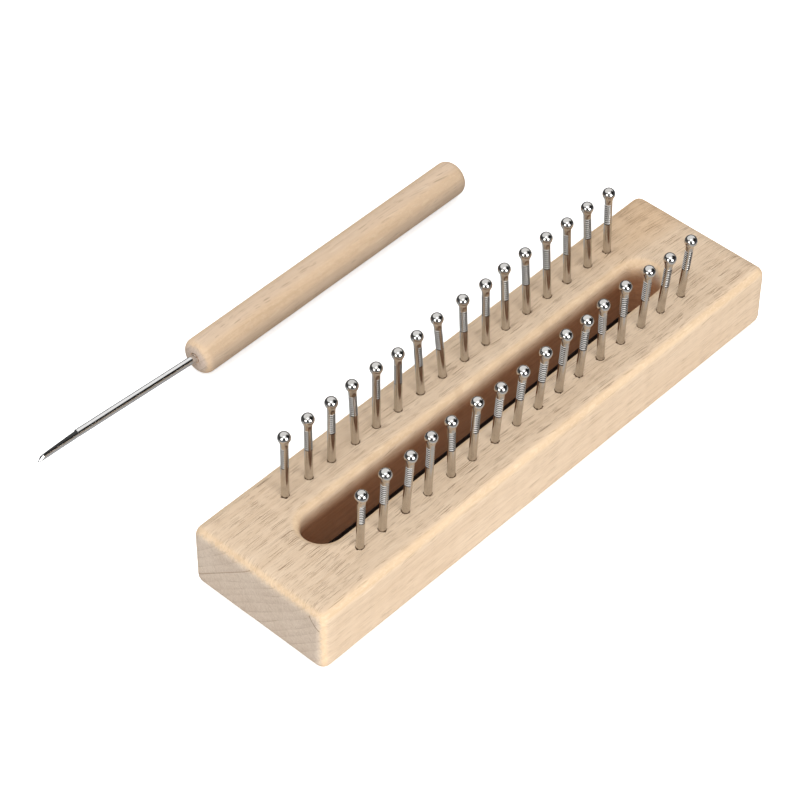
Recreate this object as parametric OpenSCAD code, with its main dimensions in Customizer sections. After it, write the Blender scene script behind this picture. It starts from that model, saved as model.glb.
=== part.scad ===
// Peg loom: a beech block with a slot between two rows of ball-headed nails, and the pick that
// belongs to it. Millimetres. The block stands on z = 0 and is centred on the origin, with its
// length along X. The pick lies on the same table, behind the block.

/* [Block] */
// Length of the block
block_l = 200; // [180:1:320]
// Width of the block
block_w = 52.5; // [44:0.5:80]
// Thickness of the block
block_h = 23.2; // [16:0.1:40]
// Rounding of the long and the short edges
edge_r = 3.5; // [1:0.1:5]
// Rounding of the four upright corners
corner_r = 3.2; // [1:0.1:8]

/* [Slot] */
// Width of the slot
slot_w = 13.1; // [6:0.1:16]
// Length of the slot, end to end
slot_l = 155.2; // [60:0.1:160]
// How far the slot's middle lies from the block's middle, along the block
slot_shift = -1.8; // [-4:0.1:4]
// Rounding of the slot's upper rim
slot_rim_r = 3.5; // [1:0.1:3.8]
// Rounding of the slot's lower rim
slot_foot_r = 2; // [1:0.1:3.8]

/* [Pegs] */
// Number of nails in each row
pegs_per_row = 16; // [2:1:16]
// Distance from one nail to the next
peg_pitch = 9.58; // [6:0.01:10.5]
// Distance between the two rows
row_gap = 29.5; // [28:0.1:34]
// How far the middle of the rows lies from the block's middle, along the block
row_shift_along = -0.4; // [-2:0.1:2]
// How far the middle of the rows lies from the block's middle, across the block
row_shift_across = 0.4; // [-1:0.1:1]
// Diameter of a nail's shank
shank_d = 2.5; // [1.5:0.1:3]
// Diameter of a nail's ball head
head_d = 4.1; // [3.2:0.1:5]
// Height of the ball's centre above the block
head_height = 22.7; // [10:0.1:30]
// Diameter of the neck where it meets the ball
neck_d = 3.1; // [3:0.1:3.2]
// Length of the neck, which tapers down to the shank
neck_l = 1.6; // [0.5:0.1:3]
// Length of the nail inside the wood, its point included
sunk_l = 12; // [6:0.5:14]
// Length of the nail's point
point_l = 3; // [1:0.5:5]
// Diameter of the crushed rim where a nail enters the wood
hole_rim_d = 2.9; // [2.5:0.1:3.6]
// Depth of that rim
hole_rim_depth = 0.5; // [0.2:0.1:1]

/* [Nails as they were driven] */
// Mean lean of the nails away from the slot, in degrees
lean_out = 3; // [0:0.1:4]
// How far one nail's lean may differ from the mean, out or along the block, in degrees
lean_spread = 2.5; // [0:0.1:3]
// How far one nail may stray from its even spacing, along the block
stray = 0.4; // [0:0.1:0.6]
// Seed of the random leans and strays
driving_seed = 7; // [1:1:99]

/* [Pick] */
// Diameter of the handle
handle_d = 12.3; // [8:0.1:20]
// Length of the handle
handle_l = 120; // [80:1:160]
// Rounding of the handle's ends
handle_end_r = 2.9; // [0.5:0.1:3.5]
// Distance of the handle's needle end from the block's middle, along the block
handle_end_x = -39.5; // [-60:0.5:0]
// Distance of the handle's axis behind the block's middle
handle_y = 87.4; // [60:0.1:120]
// Diameter of the needle
needle_d = 2.5; // [1.5:0.1:3]
// Length of the needle outside the handle
needle_l = 65.5; // [30:0.5:100]
// Length of the needle inside the handle
needle_seat_l = 25; // [10:1:40]
// Upward tilt of the needle, which was set a little askew, in degrees
needle_tilt = 3.9; // [0:0.1:5]
// Length of the needle's ground point
ground_l = 16; // [5:0.5:25]
// Depth of the flat on the point's upper side
flat_depth = 0.2; // [0.1:0.05:0.5]
// Depth at which the point's taper starts
taper_step = 0.3; // [0.1:0.05:0.5]
// Thickness that the taper leaves at the tip
tip_t = 1.5; // [0.6:0.1:2]
// How far round from the top, towards the back, the taper is ground, in degrees
taper_turn = 56; // [0:1:90]
// Diameter of the handle's hole
needle_hole_d = 3.3; // [2.7:0.1:4]
// Length of the glue ring inside the hole
glue_l = 4; // [1:0.5:10]
// How far the glue stands out of the hole
glue_proud = 0.5; // [0.2:0.1:1]

/* [Hidden] */
$fn = 64;
// Cutters run this far past the faces that they cut
past = 1;
shank_r = shank_d / 2;
slot_r = slot_w / 2;
// Half the distance between the centres of the slot's round ends
slot_reach = (slot_l - slot_w) / 2;
handle_r = handle_d / 2;
// The needle's axis crosses the handle's axis this far inside the handle
needle_cross = 10;
row_first_x = row_shift_along - (pegs_per_row - 1) * peg_pitch / 2;

ROWS = ["back", "front"];
function two_digits(i) = i < 10 ? str("0", i) : str(i);
function peg_name(row, i) = str("peg_", row, "_", two_digits(i));

// ---- the pegs -------------------------------------------------------------------------------

// +1 for the back row, -1 for the front row
function side_of(row) = row == "back" ? 1 : -1;

// One random number from -1 to 1 for each nail of a row, in a run of its own for each use
function chances(row, use) = rands(-1, 1, pegs_per_row, driving_seed + 10 * use + side_of(row));

// Where nail number i of a row enters the top face, and how it leans
module peg_place(row, i)
    translate([row_first_x + (i - 1) * peg_pitch + stray * chances(row, 1)[i - 1],
               row_shift_across + side_of(row) * row_gap / 2, block_h])
        rotate([-side_of(row) * (lean_out + lean_spread * chances(row, 2)[i - 1]),
                lean_spread * chances(row, 3)[i - 1], 0])
            children();

// The part of a nail below the surface: a plain shank and a cone for its point
module sunk_shank() {
    translate([0, 0, -(sunk_l - point_l)])
        cylinder(r = shank_r, h = sunk_l - point_l);
    translate([0, 0, -sunk_l])
        cylinder(r1 = 0, r2 = shank_r, h = point_l);
}

// One nail with its ball head, its axis on Z and the wood's surface at z = 0
module peg() color("silver") {
    sunk_shank();
    cylinder(r = shank_r, h = head_height);
    neck_top = head_height - sqrt(pow(head_d / 2, 2) - pow(neck_d / 2, 2));
    translate([0, 0, neck_top - neck_l])
        cylinder(r1 = shank_r, r2 = neck_d / 2, h = neck_l);
    translate([0, 0, head_height])
        sphere(d = head_d);
}

// The hole that a nail fills, crushed a little wider where it enters
module peg_hole() {
    sunk_shank();
    cylinder(r = shank_r, h = past);
    translate([0, 0, -hole_rim_depth])
        cylinder(d = hole_rim_d, h = hole_rim_depth + past);
}

// ---- the block ------------------------------------------------------------------------------

// A centred rectangle with its four corners rounded
module rounded_rectangle(w, h, r) {
    square([w - 2 * r, h], center = true);
    square([w, h - 2 * r], center = true);
    for (x = [-1, 1], y = [-1, 1])
        translate([x * (w / 2 - r), y * (h / 2 - r)])
            circle(r);
}

// The block before it is slotted and drilled: what its three rounded outlines have in common
module blank()
    translate([0, 0, block_h / 2])
        intersection() {
            rotate([90, 0, 90])
                linear_extrude(block_l, center = true)
                    rounded_rectangle(block_w, block_h, edge_r);
            rotate([90, 0, 0])
                linear_extrude(block_w, center = true)
                    rounded_rectangle(block_l, block_h, edge_r);
            linear_extrude(block_h, center = true)
                rounded_rectangle(block_l, block_w, corner_r);
        }

// What a rim of radius r opens out beyond the slot's wall, below a face at y = 0
module rim_flare(r)
    difference() {
        translate([-past, -r])
            square([r + past, r + past]);
        translate([r, -r])
            circle(r);
    }

// Half of the slot's upright section, from its middle plane to the wall and its rounded rims
module slot_half_section() {
    translate([0, -past])
        square([slot_r, block_h + 2 * past]);
    translate([slot_r, block_h])
        rim_flare(slot_rim_r);
    translate([slot_r, 0])
        mirror([0, 1])
            rim_flare(slot_foot_r);
}

// Everything that the slot takes out of the block
module slot_cutter()
    translate([slot_shift, 0, 0]) {
        for (side = [0, 1])
            mirror([0, side, 0])
                rotate([90, 0, 90])
                    translate([0, 0, -slot_reach])
                        linear_extrude(2 * slot_reach)
                            slot_half_section();
        for (end = [0, 1])
            mirror([end, 0, 0])
                translate([slot_reach, 0, 0])
                    rotate([0, 0, -90])
                        rotate_extrude(angle = 180)
                            slot_half_section();
    }

module block() color("burlywood")
    difference() {
        blank();
        slot_cutter();
        for (row = ROWS, i = [1 : pegs_per_row])
            peg_place(row, i) peg_hole();
    }

// ---- the pick -------------------------------------------------------------------------------

// Puts the handle's axis on +X, starting at its needle end
module on_handle()
    translate([handle_end_x, handle_y, handle_r])
        rotate([0, 90, 0])
            children();

// Puts the needle's axis on +Z, pointing at the tip, with the hole's mouth at z = 0
module on_needle()
    translate([handle_end_x + needle_cross, handle_y, handle_r])
        rotate([0, -90 + needle_tilt, 0])
            translate([0, 0, needle_cross])
                children();

module pick_handle() color("wheat")
    difference() {
        on_handle()
            rotate_extrude() {
                square([handle_r - handle_end_r, handle_l]);
                translate([0, handle_end_r])
                    square([handle_r, handle_l - 2 * handle_end_r]);
                for (z = [handle_end_r, handle_l - handle_end_r])
                    translate([handle_r - handle_end_r, z])
                        circle(handle_end_r);
            }
        on_needle()
            translate([0, 0, -needle_seat_l])
                cylinder(d = needle_hole_d, h = needle_seat_l + past);
    }

module pick_needle() color("gainsboro")
    on_needle()
        difference() {
            translate([0, 0, -needle_seat_l])
                cylinder(d = needle_d, h = needle_seat_l + needle_l);
            translate([needle_d / 2 - flat_depth, -needle_d, needle_l - ground_l])
                cube([needle_d, 2 * needle_d, 2 * ground_l]);
            // The taper starts with a small step and leaves tip_t at the tip
            rotate([0, 0, taper_turn])
                translate([needle_d / 2 - taper_step, 0, needle_l - ground_l])
                    rotate([0, -atan((needle_d - taper_step - tip_t) / ground_l), 0])
                        translate([0, -needle_d, 0])
                            cube([needle_d, 2 * needle_d, 2 * ground_l]);
        }

module pick_glue() color("oldlace")
    on_needle()
        difference() {
            translate([0, 0, -glue_l])
                cylinder(d = needle_hole_d, h = glue_l + glue_proud);
            translate([0, 0, -glue_l - past])
                cylinder(d = needle_d, h = glue_l + glue_proud + 2 * past);
        }

// ---- the nodes ------------------------------------------------------------------------------

block();
for (row = ROWS, i = [1 : pegs_per_row])
    peg_place(row, i) peg();
pick_handle();
pick_needle();
pick_glue();
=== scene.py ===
"""Peg loom and its pick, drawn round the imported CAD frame, in millimetres until a piece is made."""

import math
import random

import bmesh
import bpy
from mathutils import Matrix, Vector, noise
from mathutils.geometry import delaunay_2d_cdt


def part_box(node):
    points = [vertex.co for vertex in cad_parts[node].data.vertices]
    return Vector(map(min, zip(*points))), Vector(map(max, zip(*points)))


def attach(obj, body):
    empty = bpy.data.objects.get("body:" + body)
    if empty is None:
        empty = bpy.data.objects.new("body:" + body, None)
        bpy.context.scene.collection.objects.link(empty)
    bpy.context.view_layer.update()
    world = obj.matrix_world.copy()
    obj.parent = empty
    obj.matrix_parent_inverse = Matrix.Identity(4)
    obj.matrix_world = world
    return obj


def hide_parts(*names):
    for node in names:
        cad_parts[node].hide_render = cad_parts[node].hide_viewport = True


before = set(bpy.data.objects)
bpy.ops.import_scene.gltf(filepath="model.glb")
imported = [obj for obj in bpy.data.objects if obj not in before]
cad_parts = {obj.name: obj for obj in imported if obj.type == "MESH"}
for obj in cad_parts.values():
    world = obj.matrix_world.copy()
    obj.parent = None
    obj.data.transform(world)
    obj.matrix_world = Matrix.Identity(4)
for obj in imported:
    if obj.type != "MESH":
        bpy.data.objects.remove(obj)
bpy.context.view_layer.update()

# ---- Sizes, in millimetres -------------------------------------------------------------------

MM = 0.001

# Block
EDGE_RADIUS = 3.5
CORNER_RADIUS = 3.2
CORNER_LEAST = 0.3       # what is left of it at the foot of the rounded edges
BLOCK_STEP = 1.25        # spacing of the points along the block's edges
FACE_STEP = 2.4          # spacing of the points inside its flat faces
FACE_STRAY = 0.3         # how far each of those strays, so that they make no pattern
FACE_FROM_EDGE = 1.0     # how far they keep from the rounded edges
FACE_FROM_OPENING = 0.8  # and from the slot and the nail holes
UNEVEN = 0.10            # how deep the hand-sanded surface dips
UNEVEN_LENGTH = 9.0      # and over what distance
RIPPLE_LENGTH = 2.5      # distance over which its smaller ripples run
RIPPLE_SHARE = 0.4       # and their depth, as a share of the dips'

# Slot
SLOT_WIDTH = 13.1
SLOT_LENGTH = 155.2
SLOT_SHIFT = -1.8
SLOT_RIM_RADIUS = 3.5
SLOT_FOOT_RADIUS = 2.0

# Nails
SHANK_RADIUS = 1.25
SUNK_LENGTH = 12.0
POINT_LENGTH = 3.0
HEAD_RADIUS = 2.05
HEAD_HEIGHT = 22.7
HEAD_UNEVEN = 0.03       # how far from round a head is
NECK_RADIUS = 1.55
NECK_LENGTH = 1.6
NECK_STEPS = 6
GRIP_MARKS = 10
GRIP_PITCH = 0.78
GRIP_DEPTH = 0.15
GRIP_RIB = 0.50          # height of the rib below each mark's shelf
GRIP_SHELF = 0.10        # height that the shelf climbs on its way in
GRIP_BELOW_NECK = 0.7    # distance from the neck down to the marks
GRIP_BARE = 0.45         # the most that they leave bare down the shank's middle, as a share of its radius
GRIP_FADE = 0.35         # the share of the radius over which they then reach their full depth

# Nail holes
HOLE_RIM_RADIUS = 1.40   # of the crushed mouth
HOLE_LIP_RADIUS = 1.75   # of the wood that gives way round it
HOLE_FLAT_RADIUS = 2.4   # of the loop where the even top face starts
HOLE_CRUSH_DEPTH = 0.45  # down to where the nail fills the hole
ROUGH_IN = 0.08          # the most that the mouth strays inwards
ROUGH_OUT = 0.10         # and outwards
CHIP_SIZE = 0.25         # how much further out it reaches where a chip is missing
CHIP_CHANCE = 0.08

# Pick
HANDLE_END_RADIUS = 2.9
HANDLE_STEPS = 60
HANDLE_UNEVEN = 0.07     # how deep its hand-sanded surface dips
HANDLE_SWELL = 14.0      # distance over which the dips run, along the handle
HANDLE_SWELL_ROUND = 5.0  # and round it
HANDLE_REST = 1.0        # height above the table up to which it stays even
HOLE_END_RINGS = (2.4, 2.9)  # radii of the loops round the hole, in the near end
FAR_END_RINGS = (2.2, 1.0)   # and of those in the far end
NEEDLE_RADIUS = 1.25
NEEDLE_LENGTH = 65.5
NEEDLE_SEAT = 25.0
NEEDLE_CROSS = 10.0      # where its axis crosses the handle's, inside the handle
NEEDLE_TILT = math.radians(3.9)
NEEDLE_HOLE_RADIUS = 1.65
HOLE_BEVEL = 0.25
GROUND_LENGTH = 16.0
GROUND_START = 0.12      # length over which the round needle turns into its ground point
GROUND_BURR = 0.09       # how ragged that change is, as a share of the needle's radius
FLAT_DEPTH = 0.2         # the flat on the point's upper side
TAPER_TURN = math.radians(56.0)
TAPER_STEP = 0.3         # the small step at which the taper starts
CUT_STEPS = 6            # number of faces across the flat, and again across the taper
ROUND_STEPS = 28
TIP_THICKNESS = 1.5
TIP_DROP = 0.3           # how far the tip is bent down
TIP_POINT = 2.0          # length of the last, steep facets
TIP_NARROWING = 0.75     # how much of the point's width they take away
TIP_INSET = 0.3          # how far inside the rod's far side those facets meet
GLUE_LENGTH = 4.0
GLUE_PROUD = 0.5         # height of the highest bead
GLUE_LEAST = 0.12        # height of the glue between the beads


# ---- Mesh tools ------------------------------------------------------------------------------

class Surface:
    """Collects a piece's points and faces, loop by loop, in millimetres."""

    def __init__(self):
        self.points = []
        self.faces = []
        self.finishes = []

    def loop(self, points):
        first = len(self.points)
        self.points += [Vector(p) for p in points]
        return list(range(first, len(self.points)))

    def face(self, corners, finish=0):
        self.faces.append(corners)
        self.finishes.append(finish)

    def bridge(self, a, b, finish=0):
        """Four-sided faces between two closed loops that have the same number of points."""
        for i in range(len(a)):
            j = (i + 1) % len(a)
            self.face((a[i], a[j], b[j], b[i]), finish)

    def close(self, loop, tip, finish=0):
        """A fan from a closed loop to one point."""
        last = self.loop([tip])[0]
        for i in range(len(loop)):
            self.face((loop[i], loop[(i + 1) % len(loop)], last), finish)

    def piece(self, name, body, slot, materials, replaces, sharp=40.0):
        """The finished object, in metres, riding on its body and standing for its CAD node."""
        mesh = bpy.data.meshes.new(name)
        mesh.from_pydata([p * MM for p in self.points], [], self.faces)
        for material in materials:
            mesh.materials.append(material)
        mesh.polygons.foreach_set("material_index", self.finishes)
        shape = bmesh.new()
        shape.from_mesh(mesh)
        bmesh.ops.recalc_face_normals(shape, faces=shape.faces)
        for face in shape.faces:
            face.smooth = True
        for edge in shape.edges:
            edge.smooth = edge.calc_face_angle(0.0) < math.radians(sharp)
        shape.to_mesh(mesh)
        shape.free()
        made = bpy.data.objects.new(name, mesh)
        bpy.context.scene.collection.objects.link(made)
        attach(made, body)
        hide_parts(replaces)
        return made


def arc(count, start=0.0, end=360.0):
    """Angles in radians, evenly spaced; a whole turn leaves out its last angle."""
    whole = abs(end - start) >= 360.0
    return [math.radians(start + (end - start) * i / (count if whole else count - 1)) for i in range(count)]


def smooth_step(low, high, value):
    t = min(max((value - low) / (high - low), 0.0), 1.0)
    return t * t * (3.0 - 2.0 * t)


# ---- The block -------------------------------------------------------------------------------

BLOCK_LOW, BLOCK_HIGH = (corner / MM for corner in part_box("block"))
BLOCK_HALF = ((BLOCK_HIGH - BLOCK_LOW) / 2).to_2d()
BLOCK_TOP = BLOCK_HIGH.z
SLOT_RADIUS = SLOT_WIDTH / 2
SLOT_REACH = (SLOT_LENGTH - SLOT_WIDTH) / 2


def nail_axis(node):
    """Where a CAD nail enters the block's top face, and the direction that it points in."""
    corners = [v.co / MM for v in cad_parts[node].data.vertices]
    tip = min(corners, key=lambda p: p.z)
    crown = max(corners, key=lambda p: (p - tip).length)
    axis = (crown - tip).normalized()
    return tip + axis * (BLOCK_TOP - tip.z) / axis.z, axis


NAILS = {n: nail_axis(n) for n in sorted(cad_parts) if n.startswith("peg_")}


def outline(inset):
    """The block's outline, seen from above, drawn in by inset."""
    points = []
    radius = max(CORNER_RADIUS - inset, CORNER_LEAST)
    reach = BLOCK_HALF - Vector((inset + radius, inset + radius))
    corners = [(1, 1, 0), (-1, 1, 90), (-1, -1, 180), (1, -1, 270)]
    for k, (sx, sy, turn) in enumerate(corners):
        centre = Vector((sx * reach.x, sy * reach.y))
        for a in arc(7, turn, turn + 90):
            points.append(centre + radius * Vector((math.cos(a), math.sin(a))))
        nx, ny, _ = corners[(k + 1) % 4]
        start = points[-1]
        along = Vector((nx * reach.x, ny * reach.y)) - centre
        side = BLOCK_HALF.x if k % 2 == 0 else BLOCK_HALF.y
        steps = round(2 * side / BLOCK_STEP)
        points += [start + along * i / steps for i in range(1, steps)]
    return points


def stadium(radius):
    """The slot's outline at a distance from its middle line."""
    points = []
    steps = round(2 * SLOT_REACH / BLOCK_STEP)
    for side in (1, -1):
        centre = Vector((SLOT_SHIFT + side * SLOT_REACH, 0.0))
        for a in arc(25, -90 * side, 90 * side if side > 0 else 270):
            points.append(centre + radius * Vector((math.cos(a), math.sin(a))))
        start = points[-1]
        points += [start - Vector((side * 2 * SLOT_REACH * i / steps, 0.0)) for i in range(1, steps)]
    return points


def slot_distance(x, y):
    """Distance of a point from the slot's middle line."""
    return math.hypot(max(abs(x - SLOT_SHIFT) - SLOT_REACH, 0.0), y)


def rounded_profile(top_radius, foot_radius, height, wall_steps=6):
    """Pairs of how far in and how high, from the top face over both rounded edges to the underside."""
    turn = arc(8, 0, 90)
    high = [(top_radius * (1 - math.sin(a)), height - top_radius * (1 - math.cos(a))) for a in turn]
    low = [(foot_radius * (1 - math.sin(a)), foot_radius * (1 - math.cos(a))) for a in reversed(turn)]
    flat = height - top_radius - foot_radius
    wall = [(0.0, height - top_radius - flat * i / wall_steps) for i in range(1, wall_steps)]
    return high + wall + low


def flat_face(surface, loops, is_open, z):
    """Fills between the outer loop, which comes first, and the others with triangles.

    is_open(x, y, margin) says whether a place lies in an opening, or within a margin round it."""
    flat, edges, index = [], [], []
    for loop in loops:
        first = len(flat)
        flat += [surface.points[i].to_2d() for i in loop]
        index += loop
        edges += [(first + i, first + (i + 1) % len(loop)) for i in range(len(loop))]
    rng = random.Random(4)
    rows = int(2 * BLOCK_HALF.y / FACE_STEP) + 1
    columns = int(2 * BLOCK_HALF.x / FACE_STEP) + 1
    for row in range(rows):
        for column in range(columns):
            x = -BLOCK_HALF.x + (column + row % 2 / 2) * FACE_STEP + rng.uniform(-FACE_STRAY, FACE_STRAY)
            y = -BLOCK_HALF.y + row * FACE_STEP + rng.uniform(-FACE_STRAY, FACE_STRAY)
            inner = min(BLOCK_HALF.x - abs(x), BLOCK_HALF.y - abs(y)) > EDGE_RADIUS + FACE_FROM_EDGE
            if inner and not is_open(x, y, FACE_FROM_OPENING):
                flat.append(Vector((x, y)))
                index += surface.loop([(x, y, z)])
    found = delaunay_2d_cdt(flat, edges, [], 0, 1e-6)
    points, triangles, sources = found[0], found[2], found[3]
    for triangle in triangles:
        middle = sum((points[i] for i in triangle), Vector((0, 0))) / 3
        if not is_open(middle.x, middle.y, -0.02):
            surface.face(tuple(index[sources[i][0]] for i in triangle))


def nail_hole(surface, base, axis, rng):
    """A nail's hole, crushed and chipped at its rim. Returns its outer loop, which lies in the top face."""
    across = axis.orthogonal().normalized()
    other = axis.cross(across)
    turns = arc(20)
    rough = []
    for _ in turns:
        stray = rng.uniform(-ROUGH_IN, ROUGH_OUT)
        rough.append(stray + (CHIP_SIZE if rng.random() < CHIP_CHANCE else 0.0))

    def on_face(a):
        return base.x + HOLE_FLAT_RADIUS * math.cos(a), base.y + HOLE_FLAT_RADIUS * math.sin(a), base.z

    def ring(radius, height, wobble):
        made = []
        for a, r in zip(turns, rough):
            out = across * math.cos(a) + other * math.sin(a)
            made.append(base + out * (radius + wobble * r) + axis * height)
        return surface.loop(made)

    flat = surface.loop([on_face(a) for a in turns])
    loops = [
        matched_loop(surface, flat, base, across * HOLE_FLAT_RADIUS, other),
        ring(HOLE_LIP_RADIUS, 0.0, 0.3),
        ring(HOLE_RIM_RADIUS, 0.0, 1.0),
        ring((HOLE_RIM_RADIUS + SHANK_RADIUS) / 2, -0.2, 0.5),
        ring(SHANK_RADIUS, -HOLE_CRUSH_DEPTH, 0.0),
        ring(SHANK_RADIUS, POINT_LENGTH - SUNK_LENGTH, 0.0),
    ]
    # The hole's mouth and inside take the crushed wood, darkened as painted shade
    for a, b, finish in zip(loops, loops[1:], (0, 0, 1, 1, 1)):
        surface.bridge(a, b, finish)
    surface.close(loops[-1], base - axis * SUNK_LENGTH, 1)
    return flat


def matched_loop(surface, loop, middle, first, second):
    """The same loop, started at the point nearest to first and turned so that it goes on towards second."""

    def gap(i):
        return (surface.points[loop[i]] - middle - first).length

    start = min(range(len(loop)), key=gap)
    turned = loop[start:] + loop[:start]
    if (surface.points[turned[1]] - middle).dot(second) < 0:
        return turned[:1] + turned[:0:-1]
    return turned


def block():
    surface = Surface()
    rng = random.Random(11)
    outer = [surface.loop([(*p, z) for p in outline(inset)])
             for inset, z in rounded_profile(EDGE_RADIUS, EDGE_RADIUS, BLOCK_TOP)]
    slot = [surface.loop([(*p, z) for p in stadium(SLOT_RADIUS + away)])
            for away, z in rounded_profile(SLOT_RIM_RADIUS, SLOT_FOOT_RADIUS, BLOCK_TOP)]
    for loops in (outer, slot):
        for a, b in zip(loops, loops[1:]):
            surface.bridge(a, b)
    holes = [nail_hole(surface, base, axis, rng) for base, axis in NAILS.values()]

    def open_on_top(x, y, margin):
        near = min(math.hypot(x - base.x, y - base.y) for base, _ in NAILS.values())
        in_slot = slot_distance(x, y) < SLOT_RADIUS + SLOT_RIM_RADIUS + margin
        return in_slot or near < HOLE_FLAT_RADIUS + margin

    def open_below(x, y, margin):
        return slot_distance(x, y) < SLOT_RADIUS + SLOT_FOOT_RADIUS + margin

    flat_face(surface, [outer[0], slot[0]] + holes, open_on_top, BLOCK_TOP)
    flat_face(surface, [outer[-1], slot[-1]], open_below, 0.0)
    made = surface.piece("loom_block", "loom", "beech", [BEECH, CRUSHED_IN_SHADE], "block")
    sand_unevenly(made)
    return made


def sand_unevenly(piece):
    """Lets the surface dip a little, always inwards, except on the underside and round the nails."""
    for vertex in piece.data.vertices:
        place = vertex.co / MM
        near = min((place - base).length for base, _ in NAILS.values())
        if place.z < 0.01 or near < HOLE_FLAT_RADIUS + 0.1:
            continue
        amount = UNEVEN * (0.5 + 0.5 * noise.noise(place / UNEVEN_LENGTH))
        amount += RIPPLE_SHARE * UNEVEN * max(noise.noise(place / RIPPLE_LENGTH), 0.0)
        vertex.co -= vertex.normal * amount * MM


# ---- The nails -------------------------------------------------------------------------------

# The finishes of a nail's bands, in the order of its materials
PLAIN, HEAD, RIB, SHELF = range(4)


def nail_profile():
    """The bands of a nail from its point to its crown: how high each ends, at what radius, whether it is
    sunk by the grip, and its finish."""
    profile = [(POINT_LENGTH - SUNK_LENGTH, SHANK_RADIUS, 0, PLAIN), (0.5, SHANK_RADIUS, 0, PLAIN)]
    ball_start = HEAD_HEIGHT - math.sqrt(HEAD_RADIUS ** 2 - NECK_RADIUS ** 2)
    neck_start = ball_start - NECK_LENGTH
    first_mark = neck_start - GRIP_BELOW_NECK - GRIP_MARKS * GRIP_PITCH
    for i in range(GRIP_MARKS):
        start = first_mark + i * GRIP_PITCH
        profile.append((start, SHANK_RADIUS, 0, PLAIN))
        profile.append((start + GRIP_RIB, SHANK_RADIUS, 0, RIB))
        profile.append((start + GRIP_RIB + GRIP_SHELF, SHANK_RADIUS, 1, SHELF))
    profile.append((first_mark + GRIP_MARKS * GRIP_PITCH, SHANK_RADIUS, 0, PLAIN))
    for i in range(1, NECK_STEPS):
        t = i / NECK_STEPS
        neck_radius = SHANK_RADIUS + (NECK_RADIUS - SHANK_RADIUS) * t ** 1.8
        profile.append((neck_start + NECK_LENGTH * t, neck_radius, 0, PLAIN))
    low = math.degrees(math.asin(NECK_RADIUS / HEAD_RADIUS))
    for a in arc(15, 180 - low, 7):
        profile.append((HEAD_HEIGHT + HEAD_RADIUS * math.cos(a), HEAD_RADIUS * math.sin(a), 0, HEAD))
    return profile


def nail(name, base, axis, rng):
    """One nail, with the marks of the heading machine's jaws on two opposite sides of its shank."""
    surface = Surface()
    turn = Matrix.Rotation(rng.uniform(0, 2 * math.pi), 3, "Z")
    stand = Vector((0, 0, 1)).rotation_difference(axis).to_matrix() @ turn
    seed = Vector([rng.uniform(0, 50) for _ in range(3)])
    bare = rng.uniform(0.0, GRIP_BARE)
    sides = arc(32)
    gripped = [smooth_step(bare, bare + GRIP_FADE, abs(math.cos(a))) for a in sides]
    profile = nail_profile()
    loops = []
    for height, radius, sunk, _ in profile:
        ring = []
        for a, share in zip(sides, gripped):
            r = radius - GRIP_DEPTH * sunk * share
            local = Vector((r * math.cos(a), r * math.sin(a), height))
            if height > HEAD_HEIGHT - HEAD_RADIUS:
                out = (local - Vector((0, 0, HEAD_HEIGHT))).normalized()
                local -= out * HEAD_UNEVEN * (0.6 + noise.noise(seed + out * 1.6))
            ring.append(base + stand @ local)
        loops.append(surface.loop(ring))
    for (_, _, _, finish), a, b in zip(profile[1:], loops, loops[1:]):
        for i, share in enumerate(gripped):
            j = (i + 1) % len(sides)
            missed = finish in (RIB, SHELF) and share < 0.5
            surface.face((a[i], a[j], b[j], b[i]), PLAIN if missed else finish)
    surface.close(loops[0], base - axis * SUNK_LENGTH)
    surface.close(loops[-1], base + axis * (HEAD_HEIGHT + HEAD_RADIUS - 0.02), HEAD)
    # The ribs are drawn near black as painted shade, and the shelves bright as painted highlight
    finishes = [SHANK_STEEL, HEAD_STEEL, RIB_PAINTED_SHADE, SHELF_PAINTED_HIGHLIGHT]
    return surface.piece(name.replace("peg", "nail"), "loom", "peg_steel", finishes, name, 30.0)


def nails():
    rng = random.Random(23)
    for name, (base, axis) in NAILS.items():
        nail(name, base, axis, rng)


# ---- The pick --------------------------------------------------------------------------------

HANDLE_LOW, HANDLE_HIGH = (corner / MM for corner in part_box("pick_handle"))
HANDLE_RADIUS = (HANDLE_HIGH.z - HANDLE_LOW.z) / 2
HANDLE_LENGTH = HANDLE_HIGH.x - HANDLE_LOW.x
HANDLE_START = Vector((HANDLE_LOW.x, (HANDLE_LOW.y + HANDLE_HIGH.y) / 2, HANDLE_RADIUS))
NEEDLE_AXIS = Vector((-math.cos(NEEDLE_TILT), 0.0, math.sin(NEEDLE_TILT)))
NEEDLE_MOUTH = HANDLE_START + Vector((NEEDLE_CROSS, 0, 0)) + NEEDLE_AXIS * NEEDLE_CROSS
# The needle's own axes: along it, sideways and up
NEEDLE_SIDE = Vector((0.0, 1.0, 0.0))
NEEDLE_UP = NEEDLE_SIDE.cross(NEEDLE_AXIS)
if NEEDLE_UP.z < 0:
    NEEDLE_UP.negate()
# Lengths outside the handle: of the round rod, and up to the tip's facets
ROD_LENGTH = NEEDLE_LENGTH - GROUND_LENGTH
FACETS_START = NEEDLE_LENGTH - TIP_POINT
# Where the last facets meet, opposite the taper, as sideways and up
TIP_FOOT = Vector((math.sin(TAPER_TURN), math.cos(TAPER_TURN))) * (TIP_INSET - NEEDLE_RADIUS)

# The needle's finishes, in the order of its materials
POLISHED, FLATTENED, TAPERED = range(3)


def needle_point(along, side, up):
    return NEEDLE_MOUTH + NEEDLE_AXIS * along + NEEDLE_SIDE * side + NEEDLE_UP * up


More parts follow.
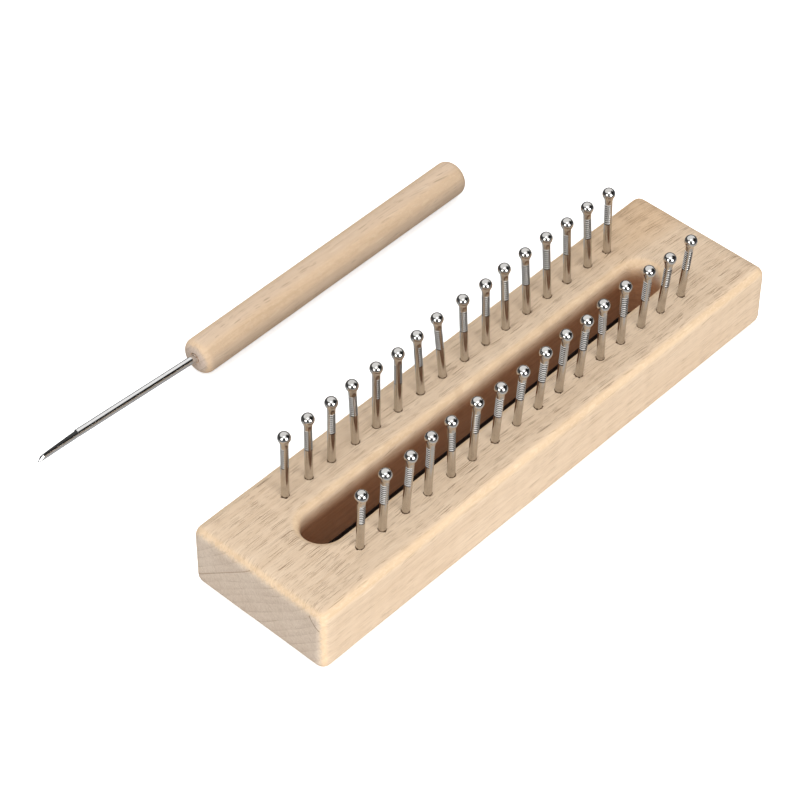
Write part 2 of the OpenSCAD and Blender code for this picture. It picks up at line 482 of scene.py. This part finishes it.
def handle_profile():
    """The handle's outline, from near the middle of one end to near the middle of the other, as pairs of how
    far along and how far out."""
    start, stop = HANDLE_END_RADIUS, HANDLE_LENGTH - HANDLE_END_RADIUS
    end = []
    for a in arc(9, 0, 90):
        along = HANDLE_END_RADIUS * (1 - math.cos(a))
        end.append((along, HANDLE_RADIUS - HANDLE_END_RADIUS * (1 - math.sin(a))))
    barrel = [(start + (stop - start) * i / HANDLE_STEPS, HANDLE_RADIUS) for i in range(1, HANDLE_STEPS)]
    far_end = [(HANDLE_LENGTH - along, radius) for along, radius in reversed(end)]
    near_face = [(0.0, radius) for radius in HOLE_END_RINGS]
    far_face = [(HANDLE_LENGTH, radius) for radius in FAR_END_RINGS]
    return near_face + end + barrel + far_end + far_face


def handle():
    """The turned handle with its rounded ends, and the hole that the needle is glued into."""
    surface = Surface()
    sides = arc(64)
    loops = []
    for along, radius in handle_profile():
        ring = []
        for a in sides:
            place = HANDLE_START + Vector((along, radius * math.cos(a), radius * math.sin(a)))
            swell = noise.noise(Vector((place.x / HANDLE_SWELL, place.y / HANDLE_SWELL_ROUND,
                                          place.z / HANDLE_SWELL_ROUND)))
            dip = HANDLE_UNEVEN * (0.5 + 0.5 * swell)
            if place.z > HANDLE_REST:
                place.y += (HANDLE_START.y - place.y) / HANDLE_RADIUS * dip
                place.z += (HANDLE_START.z - place.z) / HANDLE_RADIUS * dip
            ring.append(place)
        loops.append(surface.loop(ring))
    for a, b in zip(loops, loops[1:]):
        surface.bridge(a, b)
    surface.close(loops[-1], HANDLE_START + Vector((HANDLE_LENGTH, 0, 0)))
    needle_hole(surface, sides, loops[0])
    return surface.piece("handle_turned", "pick", "handle_wood", [HANDLE_WOOD], "pick_handle", 35.0)


def needle_hole(surface, sides, end_loop):
    """The hole in the handle's end, inside the innermost loop of that end. Its mouth is bevelled."""
    loops = [end_loop]
    rings = [(0.0, NEEDLE_HOLE_RADIUS + HOLE_BEVEL), (-0.3, NEEDLE_HOLE_RADIUS),
             (-NEEDLE_SEAT, NEEDLE_HOLE_RADIUS)]
    for along, radius in rings:
        ring = [needle_point(along, radius * math.cos(a), radius * math.sin(a)) for a in sides]
        if along == 0.0:
            for place in ring:
                place.x = HANDLE_START.x
        loops.append(surface.loop(ring))
    for a, b in zip(loops, loops[1:]):
        surface.bridge(a, b)
    surface.close(loops[-1], needle_point(-NEEDLE_SEAT, 0, 0))


def needle_section(flat, taper):
    """The ground needle's outline, as pairs of sideways and up.

    It runs from the flat's near edge over the flat, the taper and the round part. The flat lies at the
    height flat, and the taper at the distance taper from the axis."""
    facing = math.pi / 2 - TAPER_TURN
    flat_end = math.pi - math.asin(flat / NEEDLE_RADIUS)
    taper_end = facing - math.acos(taper / NEEDLE_RADIUS)
    start = Vector((math.cos(flat_end), math.sin(flat_end))) * NEEDLE_RADIUS
    crest = Vector(((taper - flat * math.sin(facing)) / math.cos(facing), flat))
    stop = Vector((math.cos(taper_end), math.sin(taper_end))) * NEEDLE_RADIUS
    points = [start.lerp(crest, i / CUT_STEPS) for i in range(CUT_STEPS)]
    points += [crest.lerp(stop, i / CUT_STEPS) for i in range(CUT_STEPS)]
    for a in arc(ROUND_STEPS, math.degrees(taper_end), math.degrees(flat_end) - 360)[:-1]:
        points.append(Vector((math.cos(a), math.sin(a))) * NEEDLE_RADIUS)
    return points


def needle_stations():
    """How far along the needle its loops lie, from its seat over the rod to the tip's facets."""
    ground = ROD_LENGTH + GROUND_START
    stations = [-NEEDLE_SEAT, 0.0, ROD_LENGTH * 0.5, ROD_LENGTH - 0.5, ROD_LENGTH]
    stations += [ground + (FACETS_START - ground) * i / 14 for i in range(15)]
    stations += [FACETS_START + (TIP_POINT - 0.15) * i / 6 for i in range(1, 7)]
    return stations


def needle():
    """The needle: a round rod whose point has a flat on its upper side and a long taper on its back."""
    surface = Surface()
    rng = random.Random(31)
    first_cut = NEEDLE_RADIUS - TAPER_STEP
    last_cut = TIP_THICKNESS - NEEDLE_RADIUS
    stations = needle_stations()
    loops = []
    for along in stations:
        t = max(along - ROD_LENGTH, 0.0) / GROUND_LENGTH
        section = needle_section(NEEDLE_RADIUS - FLAT_DEPTH, first_cut + (last_cut - first_cut) * t)
        if along <= ROD_LENGTH:
            section = [p.normalized() * NEEDLE_RADIUS for p in section]
        keep = 1 - TIP_NARROWING * max(along - FACETS_START, 0.0) / TIP_POINT
        ring = []
        for side, up in section:
            burr = rng.uniform(0.0, GROUND_BURR) if abs(along - ROD_LENGTH) < 0.2 else 0.0
            place = TIP_FOOT.lerp(Vector((side, up)) * (1 - burr), keep)
            ring.append(needle_point(along, place.x, place.y - TIP_DROP * t ** 1.5))
        loops.append(surface.loop(ring))
    for along, a, b in zip(stations, loops, loops[1:]):
        for i in range(len(a)):
            j = (i + 1) % len(a)
            surface.face((a[i], a[j], b[j], b[i]), needle_finish(along < ROD_LENGTH, i))
    surface.close(loops[0], needle_point(-NEEDLE_SEAT, 0, 0))
    surface.close(loops[-1], needle_point(NEEDLE_LENGTH - 0.1, TIP_FOOT.x, TIP_FOOT.y - TIP_DROP), TAPERED)
    finishes = [NEEDLE_STEEL, FLAT_DARK_REFLECTION, GROUND_STEEL]
    return surface.piece("needle_ground", "pick", "needle_steel", finishes, "pick_needle", 18.0)


def needle_finish(is_rod, i):
    """The finish of face number i round the needle."""
    if is_rod or i >= 2 * CUT_STEPS:
        return POLISHED
    return FLATTENED if i < CUT_STEPS else TAPERED


def glue():
    """The ring of adhesive in the mouth of the hole, set in uneven beads round the needle."""
    surface = Surface()
    rng = random.Random(5)
    sides = arc(48)
    # Each bead's place round the needle, its height and its width
    beads = []
    for _ in range(7):
        beads.append((rng.uniform(0, 2 * math.pi), rng.uniform(0.15, 0.32), rng.uniform(0.25, 0.5)))

    def lift(a):
        height = GLUE_LEAST
        for centre, size, width in beads:
            away = math.atan2(math.sin(a - centre), math.cos(a - centre)) / width
            height += size * math.exp(-away * away)
        return min(height, GLUE_PROUD)

    # Each ring's radius, its place along the needle, and its share of the beads' height
    rings = [
        (NEEDLE_HOLE_RADIUS - 0.02, -GLUE_LENGTH, 0.0),
        (NEEDLE_HOLE_RADIUS - 0.02, -0.5, 0.0),
        (NEEDLE_HOLE_RADIUS - 0.03, -0.15, 0.3),
        (NEEDLE_HOLE_RADIUS - 0.14, -0.05, 0.75),
        (NEEDLE_RADIUS + 0.12, 0.0, 1.0),
        (NEEDLE_RADIUS + 0.01, 0.05, 0.95),
        (NEEDLE_RADIUS + 0.01, -GLUE_LENGTH, 0.0),
    ]
    loops = []
    for radius, along, rise in rings:
        ring = []
        for a in sides:
            ring.append(needle_point(along + rise * lift(a), radius * math.cos(a), radius * math.sin(a)))
        loops.append(surface.loop(ring))
    for a, b in zip(loops, loops[1:] + loops[:1]):
        surface.bridge(a, b)
    return surface.piece("glue_beads", "pick", "glue", [GLUE], "pick_glue", 60.0)


# ---- Materials -------------------------------------------------------------------------------

# Two marks on the near end: where they start and stop, seen along X
RING_LINE = ((0.0, 25.0, 3.8), (0.0, 3.0, 21.6))
CRACK = ((0.0, -20.8, 21.0), (0.0, -24.4, 17.2))

# Painted shade on the slot's wall, in two streaked tones, and the near-black painted shadow at its foot and
# under the slot, with the height that it reaches
SLOT_SHADE_LIGHT = (0.49, 0.25, 0.13)
SLOT_SHADE_DARK = (0.36, 0.172, 0.085)
SLOT_SHADOW = (0.030, 0.016, 0.009)
SLOT_SHADOW_TOP = 2.3

# The floor to the eye, and its glow. To the steel and the wood it is grey, and dark this far from the block
FLOOR_WHITE = (0.90, 0.90, 0.90)
FLOOR_LIFT = 0.6
FLOOR_GREY = 0.5
FLOOR_DARK = (0.04, 0.04, 0.045)
DARK_FROM = 45.0
DARK_FULL = 85.0


class Nodes:
    """A node tree, with short calls that add to it."""

    def __init__(self, tree):
        self.tree = tree

    def feed(self, socket, value):
        if isinstance(value, bpy.types.NodeSocket):
            self.tree.links.new(value, socket)
        elif socket.type == "RGBA" and len(value) == 3:
            socket.default_value = (*value, 1.0)
        else:
            socket.default_value = value

    def node(self, kind, inputs, **settings):
        made = self.tree.nodes.new("ShaderNode" + kind)
        for name, value in settings.items():
            setattr(made, name, value)
        for name, value in inputs.items():
            self.feed(made.inputs[name], value)
        return made

    def math(self, operation, a, b=0.0, clamp=False):
        return self.node("Math", {0: a, 1: b}, operation=operation, use_clamp=clamp).outputs[0]

    def add(self, *values):
        total = values[0]
        for value in values[1:]:
            total = self.math("ADD", total, value)
        return total

    def times(self, *values):
        product = values[0]
        for value in values[1:]:
            product = self.math("MULTIPLY", product, value)
        return product

    def parts(self, vector):
        return self.node("SeparateXYZ", {0: vector}).outputs

    def joined(self, x, y, z):
        return self.node("CombineXYZ", {0: x, 1: y, 2: z}).outputs[0]

    def scaled(self, vector, x, y, z):
        return self.node("VectorMath", {0: vector, 1: (x, y, z)}, operation="MULTIPLY").outputs[0]

    def step(self, value, low, high):
        """Rises smoothly from 0 to 1 as value goes from low to high."""
        inputs = {"Value": value, "From Min": low, "From Max": high}
        return self.node("MapRange", inputs, interpolation_type="SMOOTHSTEP").outputs["Result"]

    def noise(self, vector, detail=2.0, roughness=0.5):
        """Noise centred on zero, from about -0.3 to 0.3."""
        inputs = {"Vector": vector, "Scale": 1.0, "Detail": detail, "Roughness": roughness}
        return self.math("SUBTRACT", self.node("TexNoise", inputs).outputs["Fac"], 0.5)

    def mix(self, factor, a, b, blend="MIX"):
        made = self.node("Mix", {}, data_type="RGBA", blend_type=blend)
        colours = [socket for socket in made.inputs if socket.type == "RGBA"]
        self.feed(made.inputs[0], factor)
        self.feed(colours[0], a)
        self.feed(colours[1], b)
        return next(socket for socket in made.outputs if socket.type == "RGBA")


class Finish(Nodes):
    """A procedural material."""

    def __init__(self, name):
        self.material = bpy.data.materials.new(name)
        self.material.use_nodes = True
        super().__init__(self.material.node_tree)
        self.shader = self.tree.nodes["Principled BSDF"]

    def place(self):
        """The point's place on the resting object, in millimetres."""
        return self.scaled(self.node("TexCoord", {}).outputs["Object"], 1 / MM, 1 / MM, 1 / MM)

    def past(self, value, limit):
        """How far value lies beyond plus or minus limit."""
        return self.math("MAXIMUM", self.math("SUBTRACT", self.math("ABSOLUTE", value), limit), 0.0)

    def slot_distance(self, x, y):
        """Distance of a point from the slot's middle line."""
        past_end = self.past(self.math("SUBTRACT", x, SLOT_SHIFT), SLOT_REACH)
        return self.math("SQRT", self.add(self.times(past_end, past_end), self.times(y, y)))

    def stroke(self, where, start, end, thickness):
        """1 on the straight stroke between two points, fading out to its sides."""
        along = Vector(end) - Vector(start)
        offset = self.node("VectorMath", {0: where, 1: start}, operation="SUBTRACT").outputs[0]
        way = along / along.length_squared
        reach = self.node("VectorMath", {0: offset, 1: way}, operation="DOT_PRODUCT").outputs["Value"]
        reach = self.math("MULTIPLY", reach, 1.0, clamp=True)
        nearest = self.node("VectorMath", {0: along, 3: reach}, operation="SCALE").outputs[0]
        gap = self.node("VectorMath", {0: offset, 1: nearest}, operation="DISTANCE").outputs["Value"]
        return self.step(gap, thickness, thickness * 0.3)

    def bump(self, height, distance):
        made = self.node("Bump", {"Height": height, "Distance": distance * MM, "Strength": 1.0})
        self.feed(self.shader.inputs["Normal"], made.outputs["Normal"])

    def shade(self, **values):
        for name, value in values.items():
            self.feed(self.shader.inputs[name.replace("_", " ")], value)


class Wood(Finish):
    """Beech. The grain runs along X, and the growth rings curve round a distant pith."""

    def __init__(self, name, pith, ring_gap):
        super().__init__(name)
        self.where = self.place()
        wander = self.noise(self.scaled(self.where, 0.016, 0.03, 0.03), detail=1.0)
        self.x, y, z = self.parts(self.where)
        self.across_y = self.add(y, self.times(wander, 6.0), self.times(self.x, 0.02))
        self.across_z = z
        dy = self.math("SUBTRACT", self.across_y, pith[0])
        dz = self.math("SUBTRACT", z, pith[1])
        self.radial = self.math("SQRT", self.add(self.times(dy, dy), self.times(dz, dz)))
        self.around = self.times(self.math("ARCTAN2", dy, dz), math.hypot(*pith))
        self.ring_gap = ring_gap
        normal = self.parts(self.node("NewGeometry", {}).outputs["Normal"])
        self.nx, self.ny, nz = (self.math("ABSOLUTE", part) for part in normal)
        steepest = self.math("MAXIMUM", self.math("MAXIMUM", self.nx, self.ny), nz)
        # 1 where the surface is rounded, 0 where it is flat
        self.edge = self.step(steepest, 0.995, 0.82)
        self.blotch = self.noise(self.scaled(self.where, 0.02, 0.06, 0.06))
        self.mottle = self.noise(self.scaled(self.where, 0.55, 1.1, 1.1), 3.0, 0.7)
        self.late, self.ring_line = self.rings()
        self.fine = self.fibre(1.7, 0.07, 3.0, 0.75)

    def grain(self, along, around, radial):
        """The point's place in the tree, scaled: along the trunk, round it, and out from its pith."""
        return self.joined(self.times(self.x, along), self.times(self.around, around),
                           self.times(self.radial, radial))

    def rings(self):
        """How dark the growth ring is at this point, and the thin line that ends it."""
        uneven = self.noise(self.grain(0.004, 0.02, 0.10), detail=1.0)
        turn = self.add(self.math("DIVIDE", self.radial, self.ring_gap), self.times(uneven, 2.6))
        ring = self.math("FRACT", turn)
        late = self.times(self.step(ring, 0.15, 0.97), self.step(ring, 1.0, 0.98))
        line = self.times(self.step(ring, 0.84, 0.95), self.step(ring, 1.0, 0.97))
        return late, line

    def rays(self, length, thickness, depth, share, size):
        """Thin sheets that lie along the grain and the radius, in a share of all cells."""
        cell = self.grain(1 / length, 1 / thickness, 1 / depth)
        found = self.node("TexVoronoi", {"Vector": cell, "Scale": 1.0, "Randomness": 1.0}, feature="F1")
        chance, spread, depth_of_tone = self.parts(found.outputs["Color"])
        reach = self.times(self.add(self.times(spread, 0.55), 0.45), size)
        body = self.step(self.math("DIVIDE", found.outputs["Distance"], reach), 1.0, 0.85)
        strength = self.add(self.times(depth_of_tone, 0.7), 0.3)
        return self.times(body, self.times(self.step(chance, 1.0 - share, 1.02 - share), strength))

    def fibre(self, fineness, stretch, detail=3.0, roughness=0.6):
        place = self.joined(self.times(self.x, fineness * stretch), self.times(self.across_y, fineness),
                            self.times(self.across_z, fineness))
        return self.noise(place, detail, roughness)

    def tone(self, amount, light, dark):
        """From light to dark, and a little beyond both."""
        return self.mix(self.math("MINIMUM", self.math("MAXIMUM", amount, -0.2), 1.3), light, dark)


def wood(name, pith, ring_gap, long_tones, end_tones, flecks, is_block=False):
    """Long grain with flecks, end grain with rings and rays, warm edges with a painted highlight, and the
    block's own marks with painted shade in its slot.
    """
    f = Wood(name, pith, ring_gap)
    along, long_fleck, short_fleck = long_grain(f, long_tones, flecks)
    across, cells = end_grain(f, end_tones)
    ragged = f.noise(f.grain(0.15, 1.1, 0.35), 3.0, 0.7)
    end_facing = f.step(f.add(f.nx, f.times(ragged, 0.55)), 0.70, 0.90)
    colour = edge_highlight_and_lifted_fibres(f, f.mix(end_facing, along, across))
    if is_block:
        colour = block_marks_and_slot_shade(f, colour)
    relief = f.add(f.times(f.fine, 0.9), f.times(long_fleck, -0.9), f.times(short_fleck, -0.5))
    f.bump(f.add(relief, f.times(cells, end_facing), f.times(f.mottle, f.edge, 2.2)), 0.07)
    f.shade(Base_Color=colour, Specular_IOR_Level=0.15)
    f.shade(Roughness=f.add(f.times(f.fine, 0.3), f.times(long_fleck, 0.15), 0.66))
    return f.material


def long_grain(f, tones, flecks):
    """Fine fibres in faint bands, with thin dark and pale flecks. The dark ones are weaker on the sides.

    Returns the colour, and where the long and the short dark flecks are."""
    band = f.fibre(0.22, 0.10, 3.0)
    amount = f.add(f.times(f.fine, 0.9), f.times(band, 0.6), f.times(f.blotch, 0.6), f.times(f.late, 0.20))
    colour = f.tone(f.add(amount, 0.33), *tones)
    clear = f.math("SUBTRACT", 1.0, f.add(f.times(f.edge, 0.7), f.times(f.ny, 0.45)), clamp=True)
    long_fleck = f.times(f.rays(9.0, 0.14, 2.4, 0.27 * flecks, 0.46), clear)
    hair_line = f.times(f.rays(16.0, 0.13, 2.0, 0.50 * flecks, 0.48), clear)
    short_fleck = f.times(f.rays(4.4, 0.12, 1.8, 0.55 * flecks, 0.44), clear)
    pale_fleck = f.rays(8.0, 0.26, 2.4, 0.35, 0.44)
    colour = f.mix(f.times(pale_fleck, 0.20), colour, (0.92, 0.80, 0.64))
    colour = f.mix(f.times(hair_line, 0.50), colour, (0.30, 0.19, 0.12))
    colour = f.mix(f.times(short_fleck, 0.65), colour, (0.25, 0.145, 0.085))
    colour = f.mix(f.times(long_fleck, 0.88), colour, (0.20, 0.11, 0.06))
    return colour, long_fleck, short_fleck


def end_grain(f, tones):
    """A fine soft net of rings and rays, with some ring lines browner than the rest.

    Returns the colour and the net's relief."""
    cells = f.noise(f.grain(0.2, 1.4, 1.1), 4.0, 0.8)
    amount = f.add(f.times(cells, 3.2), f.times(f.late, 0.25), f.times(f.blotch, 1.3), 0.34)
    colour = f.tone(amount, *tones)
    browner = f.add(f.times(f.noise(f.scaled(f.where, 0.1, 0.10, 0.10)), 1.3), 0.10)
    colour = f.mix(f.times(f.ring_line, f.math("MAXIMUM", browner, 0.0)), colour, (0.28, 0.18, 0.115))
    ray_line = f.rays(6.0, 0.30, 4.0, 0.8, 0.5)
    return f.mix(f.times(ray_line, 0.22), colour, (0.30, 0.20, 0.13)), cells


def edge_highlight_and_lifted_fibres(f, colour):
    """Makes the rounded edges warmer and paler, as a painted highlight, with a mottle where the cutter
    lifted the fibres.
    """
    # Painted highlight: the rounded edges are made warmer and paler
    colour = f.mix(f.times(f.edge, 0.7), colour, (1.06, 1.01, 0.90), "MULTIPLY")
    colour = f.mix(f.times(f.edge, f.step(f.mottle, 0.02, 0.16), 0.5), colour, (0.92, 0.73, 0.53))
    lifted = f.times(f.edge, f.step(f.mottle, 0.10, 0.13))
    return f.mix(f.times(lifted, 0.22), colour, (0.40, 0.24, 0.14))


def block_marks_and_slot_shade(f, colour):
    """The browner far corner, a ring line and a crack in the near end, and painted shade on the slot's wall
    with a near-black painted shadow at its foot.
    """
    _, y, z = f.parts(f.where)
    corner = f.times(f.step(f.x, 45.0, 90.0), f.step(y, 2.0, 14.0))
    colour = f.mix(f.times(corner, 0.55), colour, (0.88, 0.76, 0.61), "MULTIPLY")

    near_end = f.step(f.x, -95.0, -96.5)
    on_end = f.scaled(f.where, 0.0, 1.0, 1.0)
    ring_line = f.stroke(on_end, *RING_LINE, 0.26)
    crack = f.stroke(on_end, *CRACK, 0.28)
    colour = f.mix(f.times(ring_line, near_end, 0.5), colour, (0.26, 0.155, 0.09))
    colour = f.mix(f.times(crack, near_end, 0.6), colour, (0.16, 0.09, 0.05))

    # Painted shade: the slot's wall darkens from its rim to 9 mm down, in streaked tones
    away = f.slot_distance(f.x, y)
    streak = f.noise(f.joined(f.times(f.x, 0.03), f.times(y, 0.3), f.times(z, 0.9)), 2.0)
    wall_shade = f.mix(f.add(f.times(streak, 1.6), f.times(f.fine, 0.5), 0.4), SLOT_SHADE_LIGHT, SLOT_SHADE_DARK)
    shaded_wall = f.step(f.add(away, f.times(f.mottle, 0.8)), SLOT_RADIUS + 1.6, SLOT_RADIUS - 0.1)
    colour = f.mix(f.times(f.step(z, BLOCK_TOP - 1.0, BLOCK_TOP - 9.0), shaded_wall), colour, wall_shade)
    # Painted shadow: the foot of the slot's wall is drawn near black
    low_down = f.step(f.add(z, f.times(streak, 0.8)), SLOT_SHADOW_TOP, SLOT_SHADOW_TOP - 0.4)
    foot_shadow = f.times(low_down, f.step(away, SLOT_RADIUS + 2.4, SLOT_RADIUS + 1.6))
    return f.mix(f.times(foot_shadow, 0.96), colour, SLOT_SHADOW)


def crushed_wood_in_shade():
    """Where a nail has crushed the wood round its hole, darkened as painted shade in the hole's mouth."""
    f = Finish("beech_crushed_in_shade")
    torn = f.noise(f.scaled(f.place(), 2.0, 4.0, 4.0), 3.0, 0.7)
    f.bump(torn, 0.1)
    colour = f.mix(f.step(torn, -0.15, 0.2), (0.20, 0.115, 0.06), (0.42, 0.28, 0.17))
    f.shade(Base_Color=colour, Roughness=0.8)
    return f.material


def steel(name, colour, roughness, spread, scratch, smudge):
    """Bright metal with fine scratches, and with smudges that dull it."""
    f = Finish(name)
    place = f.place()
    drawn = f.noise(f.scaled(place, *scratch), 3.0, 0.6)
    cloud = f.noise(f.scaled(place, 0.35, 0.35, 0.35), 3.0, 0.6)
    dull = f.times(f.step(cloud, -0.05, 0.25), smudge)
    f.bump(drawn, 0.004)
    f.shade(Base_Color=f.mix(dull, colour, tuple(c * 0.4 for c in colour)), Metallic=1.0)
    f.shade(Roughness=f.add(f.times(drawn, spread), f.times(cloud, spread), roughness))
    return f.material


def glue_finish():
    """Half-clear adhesive, in cloudy amber tones."""
    f = Finish("clear_glue")
    cloud = f.noise(f.scaled(f.place(), 1.6, 1.6, 1.6), 3.0)
    f.bump(cloud, 0.03)
    f.shade(Base_Color=f.mix(f.step(cloud, -0.1, 0.2), (0.74, 0.58, 0.46), (0.42, 0.25, 0.16)))
    f.shade(Roughness=f.add(f.times(cloud, 0.15), 0.14), Transmission_Weight=0.35, IOR=1.48)
    return f.material


def floor_finish():
    """White to the eye, and dark where the slot shades it. The steel and the wood see it grey near the
    block, and dark further out."""
    f = Finish("floor")
    x, y, _ = f.parts(f.place())
    past_x = f.past(x, BLOCK_HALF.x)
    past_y = f.past(y, BLOCK_HALF.y)
    away = f.math("SQRT", f.add(f.times(past_x, past_x), f.times(past_y, past_y)))
    grey = f.mix(f.step(away, DARK_FROM, DARK_FULL), (FLOOR_GREY,) * 3, FLOOR_DARK)
    # Painted shadow: under the slot the floor is drawn near black, with no glow
    in_slot = f.step(f.slot_distance(x, y), SLOT_RADIUS + 4.0, SLOT_RADIUS + 3.0)
    white = f.mix(in_slot, FLOOR_WHITE, SLOT_SHADOW)
    seen = f.node("LightPath", {}).outputs["Is Camera Ray"]
    f.shade(Base_Color=f.mix(seen, grey, white), Roughness=0.9, Emission_Color=(1.0, 1.0, 1.0))
    f.shade(Emission_Strength=f.times(seen, f.math("SUBTRACT", 1.0, in_slot), FLOOR_LIFT))
    return f.material


# Scratches and pits that run along the nails, along the needle, across it, or every way
ALONG_NAIL = (9.0, 9.0, 0.35)
ALONG_NEEDLE = (0.4, 9.0, 9.0)
ALONG_FLAT = (0.6, 9.0, 9.0)
ACROSS_NEEDLE = (9.0, 0.6, 9.0)
EVERY_WAY = (3.0, 3.0, 3.0)

BEECH = wood("beech", pith=(200.0, 264.0), ring_gap=2.8,
             long_tones=((0.745, 0.585, 0.428), (0.60, 0.442, 0.30)),
             end_tones=((0.655, 0.545, 0.44), (0.525, 0.415, 0.325)), flecks=1.0, is_block=True)
HANDLE_WOOD = wood("handle_beech", pith=(30.0, -45.0), ring_gap=3.0,
                   long_tones=((0.765, 0.59, 0.44), (0.625, 0.46, 0.315)),
                   end_tones=((0.68, 0.55, 0.46), (0.54, 0.42, 0.33)), flecks=0.45)
CRUSHED_IN_SHADE = crushed_wood_in_shade()
SHANK_STEEL = steel("nail_shank", (0.58, 0.55, 0.51), 0.22, 0.10, ALONG_NAIL, smudge=0.25)
# The ribs are drawn near black as painted shade, and the shelves bright as painted highlight
RIB_PAINTED_SHADE = steel("nail_ribs_painted_shade", (0.09, 0.082, 0.075), 0.35, 0.10, ALONG_NAIL, smudge=0.25)
SHELF_PAINTED_HIGHLIGHT = steel("nail_shelves_painted_highlight", (0.85, 0.83, 0.80), 0.40, 0.10, EVERY_WAY, smudge=0.1)
HEAD_STEEL = steel("nail_head", (0.60, 0.585, 0.565), 0.11, 0.08, EVERY_WAY, smudge=0.15)
NEEDLE_STEEL = steel("needle_polished", (0.74, 0.735, 0.73), 0.08, 0.06, ALONG_NEEDLE, smudge=0.1)
# The flat is drawn near black as a painted dark reflection
FLAT_DARK_REFLECTION = steel("needle_flat_dark_reflection", (0.05, 0.05, 0.05), 0.25, 0.10, ALONG_FLAT, smudge=0.1)
GROUND_STEEL = steel("needle_ground", (0.24, 0.24, 0.24), 0.16, 0.10, ACROSS_NEEDLE, smudge=0.1)
GLUE = glue_finish()


# ---- Studio ----------------------------------------------------------------------------------

CAMERA_AZIMUTH = math.radians(-47.3)
CAMERA_ELEVATION = math.radians(45.02)
CAMERA_ROLL = math.radians(0.35)
CAMERA_DISTANCE = 912.5
CAMERA_AIM = Vector((-19.15, 19.58, 20.0))
CAMERA_LENS = 137.1

# The room's bright half faces BRIGHT_WAY and is dimmer low down. A lamp hangs in front, high over the
# camera, and a black card stands on the right.
BRIGHT_WAY = (0.205, 0.189, 0.961)
LAMP_WAY = (-0.442, -0.408, 0.799)
CARD_WAY = (0.52, -0.61, 0.60)
ROOM_GLOW = 1.0
LAMP_GLOW = 1.5
LOW_GLOW = 0.65
CARD_GLOW = 0.03
DARK_GLOW = 0.08

# Two low lamps, in metres and watts
LOW_LAMP_SIZE = 0.5
FRONT_LAMP = (-0.15, -1.0, 0.25)
FRONT_POWER = 9.0
LEFT_LAMP = (-1.0, -0.1, 0.25)
LEFT_POWER = 4.5

# The floor, in metres, and how far it lies below the loom
FLOOR_RADIUS = 12.0
FLOOR_GAP = 0.0001


def camera():
    data = bpy.data.cameras.new("camera")
    data.lens = CAMERA_LENS
    data.sensor_width = 36.0
    data.clip_start, data.clip_end = 0.01, 50.0
    made = bpy.data.objects.new("camera", data)
    bpy.context.scene.collection.objects.link(made)
    away = math.cos(CAMERA_ELEVATION)
    back = Vector((math.sin(CAMERA_AZIMUTH) * away,
                   -math.cos(CAMERA_AZIMUTH) * away,
                   math.sin(CAMERA_ELEVATION)))
    turn = back.to_track_quat("Z", "Y").to_matrix() @ Matrix.Rotation(CAMERA_ROLL, 3, "Z")
    made.matrix_world = Matrix.Translation((CAMERA_AIM + back * CAMERA_DISTANCE) * MM) @ turn.to_4x4()
    bpy.context.scene.camera = made


def lamp(name, place, watts):
    """A square panel that faces the loom."""
    data = bpy.data.lights.new(name, "AREA")
    data.shape = "SQUARE"
    data.size = LOW_LAMP_SIZE
    data.energy = watts
    made = bpy.data.objects.new(name, data)
    bpy.context.scene.collection.objects.link(made)
    made.location = place
    made.rotation_mode = "QUATERNION"
    made.rotation_quaternion = Vector(place).to_track_quat("Z", "Y")


def room():
    """The room that lights the loom and that its steel mirrors. The camera itself sees plain white."""
    made = bpy.data.worlds.new("room")
    made.use_nodes = True
    bpy.context.scene.world = made
    n = Nodes(made.node_tree)
    towards = n.node("TexCoord", {}).outputs["Generated"]
    _, _, height = n.parts(towards)

    def facing(way):
        aim = Vector(way).normalized()
        return n.node("VectorMath", {0: towards, 1: aim}, operation="DOT_PRODUCT").outputs["Value"]

    bright = n.step(facing(BRIGHT_WAY), 0.44, 0.52)
    dimmed = n.add(n.times(n.step(height, 0.1, 0.5), 1.0 - LOW_GLOW), LOW_GLOW)
    high_lamp = n.times(n.step(facing(LAMP_WAY), 0.92, 0.96), LAMP_GLOW)
    card = n.step(facing(CARD_WAY), 0.94, 0.87)
    shaded = n.add(n.times(card, 1.0 - CARD_GLOW), CARD_GLOW)
    glow = n.times(n.add(n.times(bright, dimmed), high_lamp, DARK_GLOW), shaded, ROOM_GLOW)
    seen = n.node("LightPath", {}).outputs["Is Camera Ray"]
    strength = n.node("Mix", {0: seen, 2: glow, 3: 1.0}, data_type="FLOAT").outputs[0]
    n.feed(n.tree.nodes["Background"].inputs["Color"], (1.0, 1.0, 1.0))
    n.feed(n.tree.nodes["Background"].inputs["Strength"], strength)


def floor():
    shape = bmesh.new()
    bmesh.ops.create_circle(shape, cap_ends=True, segments=96, radius=FLOOR_RADIUS)
    mesh = bpy.data.meshes.new("floor")
    shape.to_mesh(mesh)
    shape.free()
    mesh.materials.append(floor_finish())
    made = bpy.data.objects.new("floor", mesh)
    made.location.z = -FLOOR_GAP
    bpy.context.scene.collection.objects.link(made)


def studio():
    bpy.context.scene.view_settings.view_transform = "Standard"
    room()
    floor()
    lamp("front", FRONT_LAMP, FRONT_POWER)
    lamp("left", LEFT_LAMP, LEFT_POWER)


camera()
studio()
block()
nails()
handle()
needle()
glue()
